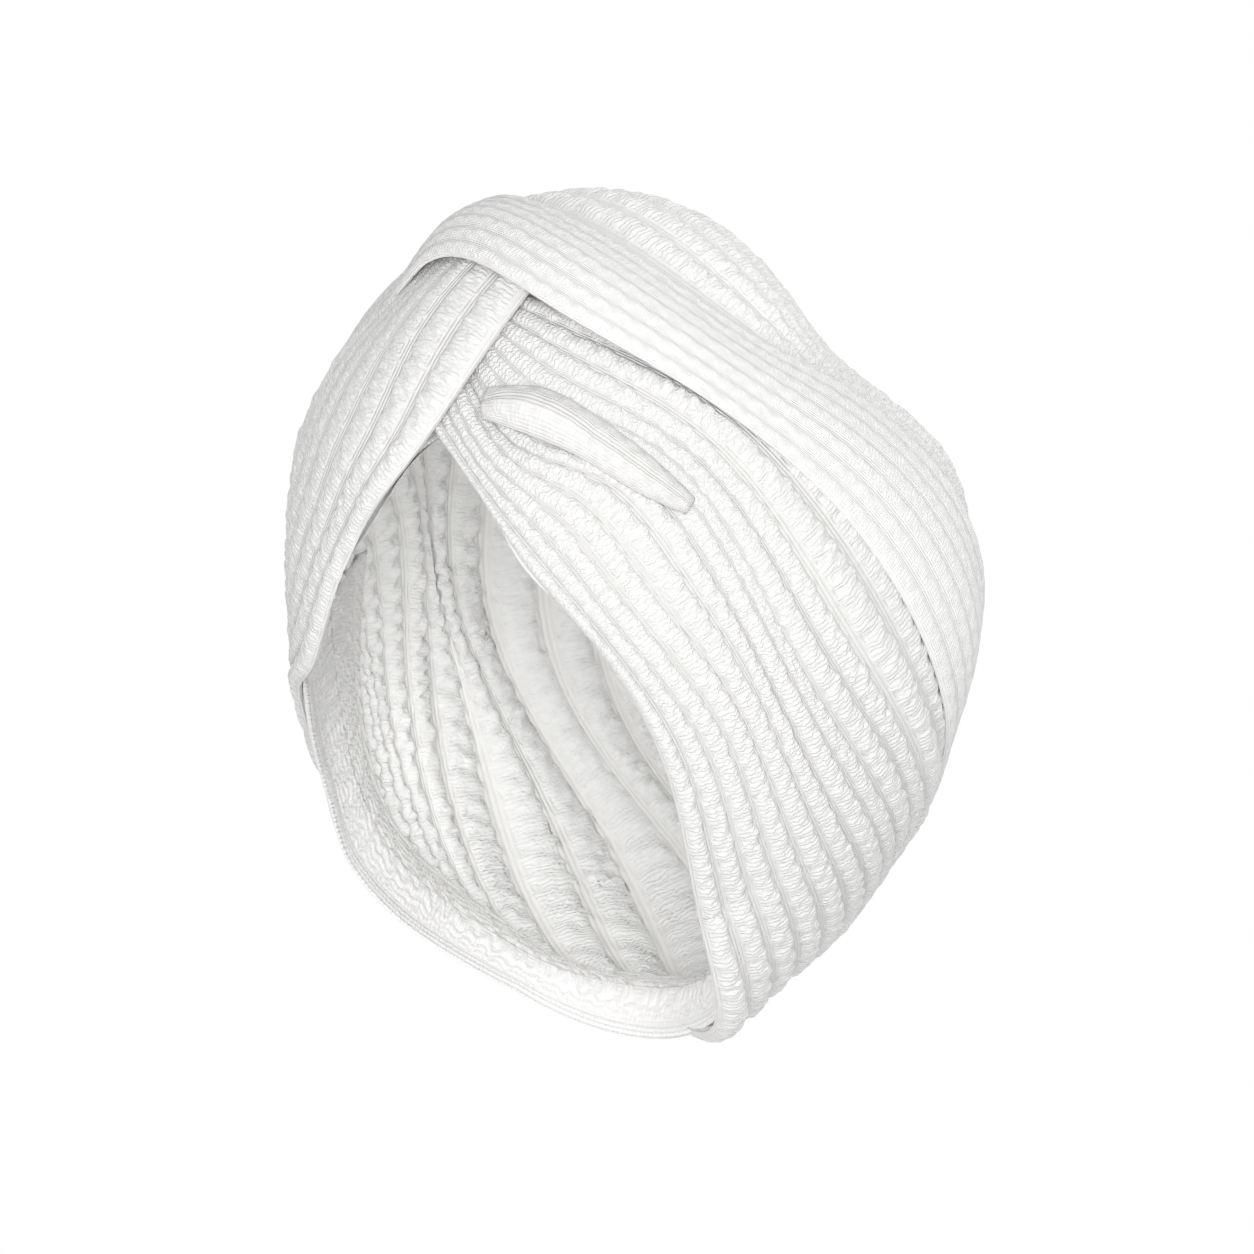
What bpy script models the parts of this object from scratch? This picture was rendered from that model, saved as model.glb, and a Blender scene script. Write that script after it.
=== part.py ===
"""Twist-front turban headwrap: a ribbed knit cap with gathered panels crossed at the brow.

Units are metres. +Z is up as worn, -Y is where the face looks and +X is the wearer's left.
The origin is the seat, the inner top of the crown that rests on the head.
Directions on the cap are given as on a globe round the dome's centre: lon 0 is the brow,
lon 90 the wearer's left ear, lon 180 the nape side, and lat rises to 90 at the crown.
"""
from collections import namedtuple

import bpy
import numpy as np

COLLECTION = "turban_headwrap"

# cloth, in metres
CLOTH = 0.0018
BAND_CLOTH = 0.0016
TUCK_CLOTH = 0.0014

# dome that the inside of the crown follows
HALF_WIDTH = 0.0838
HALF_LENGTH = 0.1078
HALF_DEPTH = 0.0798
DOME_TILT = -48.0
SEAT_FROM_CENTRE = (0.0, -0.0295, 0.1010)

# soft bulges and hollows of the dome: where, how wide (degrees) and how far out (metres)
Bulge = namedtuple("Bulge", "name lon lat spread height")
BULGES = (
    Bulge("left of the back", 118, 30, 28, 0.0070),
    Bulge("left of the crown", 119, 46, 20, 0.0048),
    Bulge("over the knot", -14, 49, 9, 0.0022),
    Bulge("right of the knot", -28, 37, 10, -0.0042),
    Bulge("hollow beside the crown", 98, 60, 21, -0.0100),
    Bulge("crown", -5, 72, 34, 0.0065),
    Bulge("hollow under the back", 138, -30, 22, -0.0060),
    Bulge("crease above the nape", 153, -50, 9, -0.0035),
    Bulge("left nape", 130, 0, 16, -0.0040),
    Bulge("right cheek", -80, -56, 24, 0.0055),
    Bulge("right ear", -54, -8, 24, -0.0025),
    Bulge("right of the brow", -44, 34, 14, -0.0035),
)

# rib spacing from which the ribs stand full; drawn closer together they flatten
FULL_PITCH = 0.007
# share of a panel's length over which a ride comes up
RAMP = 0.12
# lon of the seam edges at the middle of the back
BACK = 179.75

# share of a panel's length at each lon and lat pair of its guides
STATIONS = (0.0, 0.1, 0.22, 0.36, 0.5, 0.66, 0.83, 1.0)
FOLD_STATIONS = (0.0, 0.11, 0.21, 0.31, 0.39, 0.46, 0.53, 0.61, 0.7, 0.8, 0.9, 1.0)
BAND_STATIONS = (0.0, 0.09, 0.17, 0.28, 0.4, 0.53, 0.66, 0.78, 0.9, 1.0)
TUCK_STATIONS = (0.0, 0.25, 0.5, 0.75, 1.0)

# a guide is a line along the cloth at a counted rib, as lon and lat at the stations
Guide = namedtuple("Guide", "rib path")
# a fold is a ridge (or crease, if negative) along a rib, pressing part of the ribs flat
Fold = namedtuple("Fold", "rib width start end height pressed")
# a ride lifts the cloth over what lies under it, from start to end of the panel's length
Ride = namedtuple("Ride", "start end across across_spread height")
Panel = namedtuple(
    "Panel", "name stations ribs steps_per_rib rows lift rib_height cloth guides folds rides")

CROWN_HALF = (
    Guide(0, ((0, 16), (-7, 10), (-15, 0), (-27, -8), (-42, -11), (-58, -10), (-72, -16), (-82, -31))),
    Guide(3, ((0, 16), (-12, 16), (-26, 14), (-42, 11), (-60, 6), (-79, -4), (-93, -22), (-101, -45))),
    Guide(6, ((0, 16), (-13, 23), (-32, 29), (-55, 28), (-77, 20), (-97, 4), (-112, -22), (-124, -55))),
    Guide(9, ((0, 16), (-12, 33), (-32, 50), (-75, 58), (-112, 48), (-133, 22), (-144, -18), (-151, -58))),
)
CROWN_MIDDLE = Guide(12, ((0, 16), (0, 36), (0, 62), (180, 88), (180, 62),
                          (180, 28), (180, -15), (180, -57)))


def mirrored(guide, last_rib):
    """The same guide on the wearer's other side."""
    return Guide(last_rib - guide.rib, tuple((-lon, lat) for lon, lat in guide.path))


CROWN_RIBS = 24
CROWN = Panel(
    "crown", STATIONS, CROWN_RIBS, 3, 15, 0.0, 0.0012, CLOTH,
    CROWN_HALF + (CROWN_MIDDLE,) + tuple(mirrored(g, CROWN_RIBS) for g in reversed(CROWN_HALF)),
    folds=(),
    rides=(),
)

LEFT_SIDE_WRAP = Panel(
    "left_side_wrap", STATIONS, 12, 3, 18, 0.0049, 0.0019, CLOTH,
    (
        Guide(0, ((-3, 16), (9, 7), (20, -3), (35, -14), (52, -30), (77, -52), (122, -63), (BACK, -59.5))),
        Guide(3, ((0, 20.5), (10, 12), (23, 6), (38, -5), (58, -19), (83, -38), (128, -50), (BACK, -51))),
        Guide(6, ((2, 25), (15, 17), (30, 16), (46, 7), (63, -8), (90, -26), (132, -36), (BACK, -41))),
        Guide(9, ((4, 30), (17, 26), (33, 23), (50, 15), (70, -1), (97, -15), (136, -26), (BACK, -31))),
        Guide(12, ((6, 36), (21, 35), (38, 34), (56, 30), (79, 19), (107, -1), (141, -12), (BACK, -17))),
    ),
    folds=(Fold(6.8, 0.8, 0.3, 0.85, 0.0018, 0.0), Fold(7.5, 2.6, -0.1, 0.5, 0.0, 1.0),
           Fold(-0.3, 2.4, 0.76, 0.99, 0.0095, 0.0), Fold(12, 2.4, -0.6, 1.6, 0.0, 0.6),
           Fold(12, 2.4, -0.6, 1.05, -0.001, 0.0), Fold(10.3, 0.6, 0.1, 1.0, 0.0015, 0.0)),
    rides=(),
)

TOP_FOLD = Panel(
    "top_fold", FOLD_STATIONS, 7, 2, 28, 0.0052, 0.0007, CLOTH,
    (
        Guide(0, ((-BACK, -20), (-140, -14), (-100, 2), (-65, 20), (-35, 31), (-10, 37),
                  (15, 33), (45, 29), (78, 16), (112, -5), (145, -15), (BACK, -20))),
        Guide(7, ((-BACK, 0), (-138, 8), (-100, 28), (-65, 39), (-35, 47), (-10, 50),
                  (15, 47), (48, 42), (85, 41), (115, 20), (143, 6), (BACK, 0))),
    ),
    folds=(Fold(3.0, 2.6, -0.2, 1.2, 0.0028, 0.0),),
    rides=(Ride(0.38, 0.63, 0.2, 0.7, 0.0068), Ride(-0.2, 1.2, 0.0, 0.25, 0.0016),
           Ride(-0.2, 0.27, 0.0, 0.3, 0.002), Ride(0.82, 1.2, 0.0, 0.3, 0.002)),
)

RIGHT_SIDE_WRAP = Panel(
    "right_side_wrap", STATIONS, 9, 3, 17, 0.0052, 0.0015, CLOTH,
    (
        Guide(0, ((9, 37), (5, 24), (-3, 8), (-18, -8), (-37, -25.5),
                  (-67, -29.5), (-108, -53.5), (-BACK, -58))),
        Guide(2, ((-3, 40), (-8, 27), (-12, 12), (-25, -4), (-45, -18),
                  (-74, -23), (-112, -45), (-BACK, -49))),
        Guide(4, ((-9, 42), (-17, 32), (-24, 17), (-34, 3), (-51, -9),
                  (-78, -15), (-115, -36), (-BACK, -40))),
        Guide(9, ((-14, 46), (-26, 42), (-39, 37), (-53, 32), (-72, 24),
                  (-98, 11), (-133, -9), (-BACK, -17))),
    ),
    folds=(Fold(9, 2.0, -0.6, 1.5, 0.0, 0.6), Fold(9, 2.0, -0.6, 0.9, -0.001, 0.0)),
    rides=(Ride(-0.2, 0.36, 0.0, 0.42, 0.0036),),
)

TUCK = Panel(
    "side_tuck", TUCK_STATIONS, 2, 4, 12, 0.0075, 0.0, TUCK_CLOTH,
    (
        Guide(0, ((8.5, 18.5), (18, 16.5), (27, 16.5), (36, 12.5), (43, 8))),
        Guide(2, ((8, 23), (18, 25), (28, 23.5), (37, 18), (44, 10))),
    ),
    folds=(Fold(0.7, 0.8, -0.1, 1.0, 0.0024, 0.0),),
    rides=(),
)

BAND = Panel(
    "nape_band", BAND_STATIONS, 2, 2, 40, -0.0032, 0.0, BAND_CLOTH,
    (
        Guide(0, ((-54, -25), (-62, -33), (-70, -40.5), (-77, -51), (-90, -60.5),
                  (-117, -66), (-150, -69.5), (-174, -67.5), (166, -65.5), (150, -65.5))),
        Guide(2, ((-84, 2), (-86, -10), (-88, -22), (-93, -38), (-104, -49),
                  (-130, -54), (-153, -58), (-172, -54), (168, -53), (150, -52))),
    ),
    folds=(Fold(-0.2, 0.6, 0.75, 1.15, 0.0055, 0.0),),
    rides=(Ride(0.2, 1.2, 0.0, 0.32, 0.0092), Ride(-0.1, 0.32, 0.0, 0.35, 0.0062)),
)

Finish = namedtuple("Finish", "colour roughness")
KNIT = Finish((0.86, 0.85, 0.83), 0.9)
INNER_KNIT = Finish((0.80, 0.79, 0.77), 0.9)
HEM_KNIT = Finish((0.84, 0.83, 0.81), 0.85)


def on_globe(lon, lat):
    """Unit directions for lon and lat in degrees."""
    lon, lat = np.radians(lon), np.radians(lat)
    return np.stack((np.sin(lon) * np.cos(lat), -np.cos(lon) * np.cos(lat), np.sin(lat)), axis=-1)


def cubic(knots, values, at):
    """Natural cubic spline through rows of values, evaluated at the given places."""
    knots, values, at = np.asarray(knots, float), np.asarray(values, float), np.asarray(at, float)
    if len(knots) == 2:
        share = ((at - knots[0]) / (knots[1] - knots[0]))[:, None]
        return values[0] * (1 - share) + values[1] * share
    steps = np.diff(knots)
    slopes = np.diff(values, axis=0) / steps[:, None]
    matrix = np.eye(len(knots))
    right = np.zeros_like(values)
    for i in range(1, len(knots) - 1):
        matrix[i, i - 1:i + 2] = steps[i - 1], 2 * (steps[i - 1] + steps[i]), steps[i]
        right[i] = 6 * (slopes[i] - slopes[i - 1])
    bend = np.linalg.solve(matrix, right)
    span = np.clip(np.searchsorted(knots, at) - 1, 0, len(steps) - 1)
    step = steps[span][:, None]
    low = (at - knots[span])[:, None]
    high = step - low
    return (bend[span] * high ** 3 + bend[span + 1] * low ** 3) / (6 * step) + (
        values[span] / step - bend[span] * step / 6) * high + (
        values[span + 1] / step - bend[span + 1] * step / 6) * low


def dome_radius(direction):
    """Distance from the dome's centre to the inside of the crown along each direction."""
    tilt = np.radians(DOME_TILT)
    axes = np.array(((1, 0, 0), (0, np.cos(tilt), np.sin(tilt)), (0, -np.sin(tilt), np.cos(tilt))))
    local = direction @ axes.T / (HALF_WIDTH, HALF_LENGTH, HALF_DEPTH)
    radius = 1 / np.linalg.norm(local, axis=-1)
    for bulge in BULGES:
        cosine = np.clip(direction @ on_globe(bulge.lon, bulge.lat), -1, 1)
        radius = radius + bulge.height * np.exp(-(np.degrees(np.arccos(cosine)) / bulge.spread) ** 2)
    return radius


def panel_directions(panel, along, ribs):
    """Directions of a panel's grid, rows along the cloth by columns across its ribs."""
    lines = []
    for guide in panel.guides:
        lon, lat = np.array(guide.path, float).T
        line = cubic(panel.stations, on_globe(lon, lat), along)
        lines.append(line / np.linalg.norm(line, axis=1, keepdims=True))
    lines = np.array(lines)
    across = cubic([g.rib for g in panel.guides], lines.reshape(len(lines), -1), ribs)
    grid = across.reshape(len(ribs), len(along), 3).transpose(1, 0, 2)
    return grid / np.linalg.norm(grid, axis=2, keepdims=True)


def rib_wave(ribs):
    """Rounded ribs with narrow grooves: 0 in a groove and 1 along the top of a rib."""
    return np.minimum(1.0, 1.25 * np.abs(np.sin(np.pi * ribs)))


def relief(panel, along, ribs, pitch):
    """Height of the cloth's inner face over the dome, for rows along and columns across."""
    s, r = np.meshgrid(along, ribs, indexing="ij")
    across = r / panel.ribs
    ribbing = np.clip(pitch / FULL_PITCH, 0.0, 1.0) ** 2 * np.clip(panel.ribs - r, 0.0, 1.0)
    height = np.full_like(s, panel.lift)
    for fold in panel.folds:
        middle = (fold.start + fold.end) / 2
        reach = (fold.end - fold.start) / 2
        fade = np.clip(1 - ((s - middle) / reach) ** 2, 0, 1)
        shape = fade * np.exp(-((r - fold.rib) / fold.width) ** 2)
        height = height + fold.height * shape
        ribbing = ribbing * np.clip(1 - 1.5 * fold.pressed * shape, 0.0, 1.0)
    for ride in panel.rides:
        window = np.clip((s - ride.start) / RAMP, 0, 1) * np.clip((ride.end - s) / RAMP, 0, 1)
        window = window * window * (3 - 2 * window)
        height = height + ride.height * window * np.exp(
            -((across - ride.across) / ride.across_spread) ** 2)
    return height + panel.rib_height * ribbing * rib_wave(r)


def finish_material(name, finish):
    """A plain cloth material of its own for one object."""
    material = bpy.data.materials.new(name)
    material.use_nodes = True
    shader = material.node_tree.nodes["Principled BSDF"]
    shader.inputs["Base Color"].default_value = (*finish.colour, 1.0)
    shader.inputs["Roughness"].default_value = finish.roughness
    shader.inputs["Metallic"].default_value = 0.0
    return material


def cloth_panel(panel, finish, collection):
    """An open ribbed sheet over the dome, made solid by its cloth's thickness."""
    along = np.linspace(0, 1, panel.rows)
    ribs = np.linspace(0, panel.ribs, panel.ribs * panel.steps_per_rib + 1)
    direction = panel_directions(panel, along, ribs)
    radius = dome_radius(direction)
    spacing = np.gradient(direction * radius[..., None], ribs, axis=1)
    radius = radius + relief(panel, along, ribs, np.linalg.norm(spacing, axis=2))
    points = direction * radius[..., None] - np.array(SEAT_FROM_CENTRE)
    rows, columns = radius.shape
    gathered = np.ptp(points[0], axis=0).max() < CLOTH
    first = 1 if gathered else 0
    vertices = [tuple(points[0].mean(axis=0))] if gathered else []
    vertices += [tuple(p) for p in points[first:].reshape(-1, 3)]
    faces = []
    for row in range(first, rows - 1):
        for column in range(columns - 1):
            corner = (row - first) * columns + column + first
            faces.append((corner, corner + 1, corner + columns + 1, corner + columns))
    if gathered:
        faces += [(0, column + 2, column + 1) for column in range(columns - 1)]
    mesh = bpy.data.meshes.new(panel.name)
    mesh.from_pydata(vertices, [], faces)
    mesh.update()
    outward = sum(
        np.dot(p.normal, np.array(p.center) + np.array(SEAT_FROM_CENTRE)) for p in mesh.polygons)
    if outward < 0:
        mesh.flip_normals()
    mesh.shade_smooth()
    mesh.materials.append(finish_material(panel.name, finish))
    sheet = bpy.data.objects.new(panel.name, mesh)
    collection.objects.link(sheet)
    wall = sheet.modifiers.new("wall", "SOLIDIFY")
    wall.thickness = panel.cloth
    wall.offset = 1.0
    return sheet


def clear_scene():
    """Start from an empty scene."""
    for item in list(bpy.data.objects):
        bpy.data.objects.remove(item, do_unlink=True)


def build():
    """Make the cap, the panels laid over it and the hem at the nape."""
    clear_scene()
    collection = bpy.data.collections.new(COLLECTION)
    bpy.context.scene.collection.children.link(collection)
    cloth_panel(CROWN, INNER_KNIT, collection)
    cloth_panel(LEFT_SIDE_WRAP, KNIT, collection)
    cloth_panel(RIGHT_SIDE_WRAP, KNIT, collection)
    cloth_panel(TOP_FOLD, KNIT, collection)
    cloth_panel(TUCK, KNIT, collection)
    cloth_panel(BAND, HEM_KNIT, collection)


build()
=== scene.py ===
"""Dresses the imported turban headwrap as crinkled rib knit, in a plain studio.

Every panel is a grid on the same soft dome as the solids, described by guides that run along
its ribs as (lon, lat) on a globe: lon 0 is the brow, lon 90 the wearer's left ear, lon 180 the
nape side and lat 90 the crown. Units are metres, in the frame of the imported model.
"""

import logging
import math
from dataclasses import dataclass, field, replace
from enum import Enum

import bpy
import numpy as np
from mathutils import Matrix, Vector


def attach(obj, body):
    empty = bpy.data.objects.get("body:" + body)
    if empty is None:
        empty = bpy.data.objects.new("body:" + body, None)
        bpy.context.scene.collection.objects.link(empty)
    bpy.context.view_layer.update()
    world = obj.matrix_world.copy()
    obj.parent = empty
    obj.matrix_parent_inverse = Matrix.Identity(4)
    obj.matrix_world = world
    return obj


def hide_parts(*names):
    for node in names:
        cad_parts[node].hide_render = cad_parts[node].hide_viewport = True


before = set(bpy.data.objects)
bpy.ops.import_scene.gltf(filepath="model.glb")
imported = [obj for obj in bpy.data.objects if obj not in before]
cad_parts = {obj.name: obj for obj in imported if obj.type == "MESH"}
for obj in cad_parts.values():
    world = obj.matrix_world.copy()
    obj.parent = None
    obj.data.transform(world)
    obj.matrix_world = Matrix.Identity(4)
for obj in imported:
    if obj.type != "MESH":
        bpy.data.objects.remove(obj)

LOG = logging.getLogger("turban")
Array = np.ndarray
Colour = tuple[float, float, float]
Path = tuple[tuple[float, float], ...]
RIB_WIDTH = 0.010  # one rib on the cloth map
NO_LENGTH = 1e-9
NO_AREA = 1e-12
SCATTER = (12.9898, 78.233, 43758.5453)


def scatter(first: Array, second: Array) -> Array:
    """A fixed value from 0 to 1 for each pair of numbers, from the last digits of a sine."""
    value = np.sin(first * SCATTER[0] + second * SCATTER[1]) * SCATTER[2]
    return value - np.floor(value)


def ease(value: Array) -> Array:
    """Turns 0 to 1 into the same range with soft ends, clipped outside it."""
    value = np.clip(value, 0.0, 1.0)
    return value * value * (3.0 - 2.0 * value)


def soft_noise(first: Array, second: Array) -> Array:
    """Smooth noise over two coordinates.

    Args:
        first: The first coordinate, in steps of the noise.
        second: The second coordinate, in steps of the noise.

    Returns:
        Values from -1 to 1.
    """
    left, low = np.floor(first), np.floor(second)
    right, high = ease(first - left), ease(second - low)
    below = scatter(left, low) * (1 - right) + scatter(left + 1, low) * right
    above = scatter(left, low + 1) * (1 - right) + scatter(left + 1, low + 1) * right
    return 2.0 * (below * (1 - high) + above * high) - 1.0


def on_globe(lon: Array, lat: Array) -> Array:
    """Unit directions for lon and lat in degrees."""
    lon, lat = np.radians(lon), np.radians(lat)
    return np.stack((np.sin(lon) * np.cos(lat), -np.cos(lon) * np.cos(lat), np.sin(lat)), axis=-1)


def cubic(knots: Array, values: Array, at: Array) -> Array:
    """Natural cubic spline through rows of values, or a straight blend between two of them.

    Args:
        knots: The place of each row, rising.
        values: One row of numbers for each knot.
        at: The places wanted.

    Returns:
        One row for each place wanted.
    """
    knots, values, at = np.asarray(knots, float), np.asarray(values, float), np.asarray(at, float)
    if len(knots) == 2:
        share = ((at - knots[0]) / (knots[1] - knots[0]))[:, None]
        return values[0] * (1 - share) + values[1] * share
    steps = np.diff(knots)
    slopes = np.diff(values, axis=0) / steps[:, None]
    matrix = np.eye(len(knots))
    right = np.zeros_like(values)
    for i in range(1, len(knots) - 1):
        matrix[i, i - 1:i + 2] = steps[i - 1], 2 * (steps[i - 1] + steps[i]), steps[i]
        right[i] = 6 * (slopes[i] - slopes[i - 1])
    bend = np.linalg.solve(matrix, right)
    span = np.clip(np.searchsorted(knots, at) - 1, 0, len(steps) - 1)
    step = steps[span][:, None]
    low = (at - knots[span])[:, None]
    high = step - low
    return (bend[span] * high ** 3 + bend[span + 1] * low ** 3) / (6 * step) + (
        values[span] / step - bend[span] * step / 6) * high + (
        values[span + 1] / step - bend[span + 1] * step / 6) * low


@dataclass(frozen=True)
class Guide:
    """A line along the cloth at a counted rib, as (lon, lat) at the panel's stations."""

    rib: float
    path: Path

    def mirrored(self, last_rib: float) -> "Guide":
        """The same guide on the wearer's other side."""
        return Guide(last_rib - self.rib, tuple((-lon, lat) for lon, lat in self.path))


@dataclass(frozen=True)
class Bulge:
    """A soft swelling or hollow of the dome, its spread in degrees and its height in metres."""

    lon: float
    lat: float
    spread: float
    height: float


@dataclass(frozen=True)
class Fold:
    """A ridge or crease along a rib, from start to end of the panel's length.

    The width is in ribs and the height in metres. Pressed is the share of the knit's relief that
    the fold takes away, and a fold of no height only presses.
    """

    rib: float
    width: float
    start: float
    end: float
    height: float
    pressed: float = 0.0

    def shape(self, share: Array, ribs: Array) -> Array:
        """How much of the fold there is at each place of a grid.

        Args:
            share: The share of the panel's length.
            ribs: The counted rib.

        Returns:
            Values from 0 to 1.
        """
        middle, reach = (self.start + self.end) / 2, (self.end - self.start) / 2
        fade = np.clip(1 - ((share - middle) / reach) ** 2, 0, 1)
        return fade * np.exp(-((ribs - self.rib) / self.width) ** 2)


@dataclass(frozen=True)
class Ride:
    """A stretch of cloth lifted over what lies under it.

    It runs from start to end of the panel's length and fades in and out over the ramp. Across
    the panel it is highest at one share of the width and spreads from there.
    """

    start: float
    end: float
    across: float
    spread: float
    height: float
    ramp: float = 0.12

    def lift(self, share: Array, across: Array) -> Array:
        """The lift at each place of a grid.

        Args:
            share: The share of the panel's length.
            across: The share of the panel's width.

        Returns:
            The lift in metres.
        """
        window = np.clip((share - self.start) / self.ramp, 0, 1)
        window = ease(window * np.clip((self.end - share) / self.ramp, 0, 1))
        return self.height * window * np.exp(-((across - self.across) / self.spread) ** 2)


@dataclass(frozen=True)
class Dome:
    """The soft form under the cloth, a tilted ellipsoid with bulges."""

    half_width: float = 0.0838
    half_length: float = 0.1078
    half_depth: float = 0.0798
    tilt: float = -48.0
    seat: tuple[float, float, float] = (0.0, -0.0295, 0.1010)
    bulges: tuple[Bulge, ...] = (
        Bulge(118, 30, 28, 0.0070),
        Bulge(119, 46, 20, 0.0048),
        Bulge(-14, 49, 9, 0.0022),
        Bulge(-28, 37, 10, -0.0042),
        Bulge(98, 60, 21, -0.0100),
        Bulge(-5, 72, 34, 0.0065),
        Bulge(138, -30, 22, -0.0060),
        Bulge(153, -50, 9, -0.0035),
        Bulge(130, 0, 16, -0.0040),
        Bulge(-80, -56, 24, 0.0055),
        Bulge(-54, -8, 24, -0.0025),
        Bulge(-44, 34, 14, -0.0035),
    )

    def radius(self, direction: Array) -> Array:
        """Distance from the centre to the dome.

        Args:
            direction: Unit directions from the centre.

        Returns:
            The distance in metres along each direction.
        """
        cosine, sine = math.cos(math.radians(self.tilt)), math.sin(math.radians(self.tilt))
        axes = np.array(((1, 0, 0), (0, cosine, sine), (0, -sine, cosine)))
        local = direction @ axes.T / (self.half_width, self.half_length, self.half_depth)
        radius = 1 / np.linalg.norm(local, axis=-1)
        for bulge in self.bulges:
            close = np.clip(direction @ on_globe(bulge.lon, bulge.lat), -1, 1)
            angle = np.degrees(np.arccos(close))
            radius = radius + bulge.height * np.exp(-(angle / bulge.spread) ** 2)
        return radius


@dataclass
class Grid:
    """A panel's rows and columns: where each point is and how the cloth runs there.

    Outward and sideways are unit directions. Ribs holds the counted rib and share the share of
    the length. Run is the length along the cloth, square is the same measured square to the
    ribs, and pitch is the width of a rib, all three in metres.
    """

    points: Array
    outward: Array
    sideways: Array
    ribs: Array
    share: Array
    run: Array
    pitch: Array
    square: Array


@dataclass(frozen=True)
class Crinkle:
    """Relief of the knit: columns of staggered puffs with flat channels between them.

    Heights, lengths and pitches are in metres, and the rest are shares. A puff is one swelling
    along a rib, a scallop narrows the rib between two puffs, ragged roughens its sides and lean
    tips it over. Wander, stagger and slant shift the puffs along it, and its two rows of puffs
    meet at the seam. A rib narrower than the full pitch has lower relief. Crossing says how far
    the threads cross the puffs. The two steps keep the noise of one rib apart from the next.
    """

    puff: float = 0.0064
    rib_height: float = 0.0014
    puff_height: float = 0.0009
    channel: float = 0.30
    scallop: float = 0.22
    lean: float = 0.35
    full_pitch: float = 0.0090
    least_full: float = 0.12
    most_full: float = 1.1
    crossing: float = 1.0
    least_crossing: float = 0.35
    uneven: float = 0.0003
    lump_length: float = 0.0026
    ragged: float = 0.16
    ragged_length: float = 0.0023
    wander: float = 0.9
    wander_length: float = 0.021
    wander_step: float = 3.7
    stagger: float = 1.7
    slant: float = 0.35
    seam: float = 0.3
    sharpness: float = 0.8
    mean_puff: float = 0.45
    variety: float = 0.5
    variety_step: float = 5.3
    roundness: float = 2.4

    def puffs(self, grid: Grid, number: Array, side: Array, seed: float) -> tuple[Array, Array]:
        """Where the puffs swell, in two staggered rows on each rib.

        Args:
            grid: The panel's grid.
            number: The rib of each point.
            side: The place across its rib, from -0.5 to 0.5.
            seed: A number that varies the puffs from panel to panel.

        Returns:
            The swelling from 0 to 1 and the count of puffs along the rib.
        """
        wander = self.wander * soft_noise(
            grid.square / self.wander_length, number * self.wander_step + seed)
        phase = grid.square / self.puff + self.stagger * scatter(number, number + seed) + wander
        phase = phase + self.slant * side
        swell = np.abs(np.sin(np.pi * phase)) ** self.sharpness
        other = np.abs(np.sin(np.pi * (phase + 0.5))) ** self.sharpness
        blend = ease(side / self.seam + 0.5)
        return swell * (1 - blend) + other * blend, phase

    def relief(self, grid: Grid, seed: float) -> tuple[Array, Array]:
        """The height of the knit over its flat cloth.

        Args:
            grid: The panel's grid.
            seed: A number that varies the puffs from panel to panel.

        Returns:
            The height in metres and the puffing from 0 in a channel to 1 on a puff.
        """
        number = np.floor(grid.ribs)
        side = grid.ribs - number - 0.5
        fullness = np.clip(grid.pitch / self.full_pitch, self.least_full, self.most_full)
        puffing, phase = self.puffs(grid, number, side, seed)
        vary = 1 + self.variety * soft_noise(phase, number * self.variety_step + seed)
        half = 0.5 * (1 - self.channel * np.minimum(fullness, 1.0))
        ragged = soft_noise(grid.square / self.ragged_length, number * 2 + np.sign(side) + seed)
        half = half * (1 - self.scallop * (1 - puffing) + self.ragged * self.crossing * ragged)
        reach = np.clip(np.abs(side) / half, 0, 1)
        rounded = np.sqrt(np.clip(1 - reach ** self.roundness, 0, 1))
        height = self.rib_height + self.puff_height * vary * (puffing - self.mean_puff)
        lumps = soft_noise(
            grid.square / self.lump_length, grid.ribs * RIB_WIDTH / self.lump_length + seed)
        height = height + self.uneven * lumps
        # the puffing also sets the finish's painted shade, darkest in the channels
        crossed = self.least_crossing + (1 - self.least_crossing) * puffing
        return height * rounded * fullness, self.crossing * rounded * crossed


class Knit(Enum):
    """How the crinkled knit lies in a panel."""

    PUFFED = Crinkle()
    FINE = Crinkle(rib_height=0.0011, puff_height=0.0007, channel=0.26)
    STRETCHED = Crinkle(rib_height=0.0003, puff_height=0.0001, channel=0.14, scallop=0.08,
                        full_pitch=0.005, crossing=0.3, uneven=0.0001)
    ROLLED = Crinkle(rib_height=0.0005, puff_height=0.0002, channel=0.08, scallop=0.05,
                     full_pitch=0.005, crossing=0.25, uneven=0.0001)
    INSIDE = Crinkle(rib_height=0.0013, puff_height=0.0021, channel=0.22, scallop=0.3,
                     full_pitch=0.0075)


@dataclass(frozen=True)
class NodeKit:
    """Adds nodes and links to a material or a world."""

    tree: bpy.types.NodeTree

    def add(self, kind: str, inputs: dict[str | int, object] | None = None,
            **settings: object) -> bpy.types.Node:
        """Adds a node.

        Args:
            kind: The node's type.
            inputs: Values of its inputs, by their names or numbers.
            settings: Values of its own settings, which are set first.

        Returns:
            The new node.
        """
        node = self.tree.nodes.new(kind)
        for key, value in settings.items():
            setattr(node, key, value)
        for key, value in (inputs or {}).items():
            node.inputs[key].default_value = value
        return node

    def link(self, source: bpy.types.NodeSocket, target: bpy.types.NodeSocket) -> None:
        """Links an output to an input."""
        self.tree.links.new(source, target)


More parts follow.
